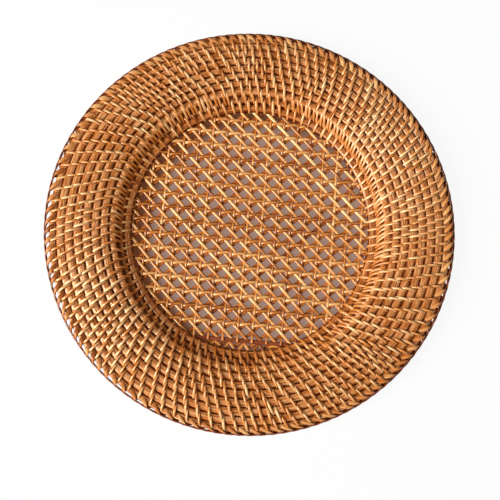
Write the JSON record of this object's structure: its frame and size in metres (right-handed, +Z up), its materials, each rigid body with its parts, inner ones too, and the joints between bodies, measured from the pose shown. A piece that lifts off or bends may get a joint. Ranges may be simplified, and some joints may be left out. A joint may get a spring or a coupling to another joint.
{
  "type": "charger plate",
  "caption": "Round charger plate of hooped rattan rods lashed side by side with split cane, with a raised rim and a sunken floor of open woven cane.",
  "frame": {"origin": "on the surface that the plate rests on, at the middle of the plate", "axes": "+Z up out of the well; +X to the right and +Y away from the viewer as the picture shows the plate"},
  "size_m": [0.33, 0.33, 0.0221],
  "materials": {
    "rod": "bare rattan core rod, sanded, satin, with fine lengthwise grain",
    "lashing": "split rattan cane with its glossy outer skin",
    "edge": "split rattan cane, satin, a little darker from handling",
    "cane": "split rattan cane with its glossy outer skin, orange gold",
    "stake": "dark reddish rattan stake, satin"
  },
  "bodies": {
    "root": {"floor_rod": "rod", "wall_rod": "rod", "rim_rod_1": "rod", "rim_rod_2": "rod", "rim_rod_3": "rod", "rim_rod_4": "rod", "rim_rod_5": "rod", "rim_rod_6": "rod", "rim_rod_7": "rod", "rim_rod_8": "rod", "floor_lashing": "lashing", "wall_lashing": "lashing", "rim_lashing_1": "lashing", "rim_lashing_2": "lashing", "rim_lashing_3": "lashing", "rim_lashing_4": "lashing", "rim_lashing_5": "lashing", "rim_lashing_6": "lashing", "rim_lashing_7": "lashing", "edge_cord": "edge", "edge_wraps": "edge", "cane_rising": "cane", "cane_rows": "cane", "cane_uprights": "cane", "cane_falling": "cane", "end_peaks": "cane", "end_stake": "stake"}
  },
  "joints": []
}
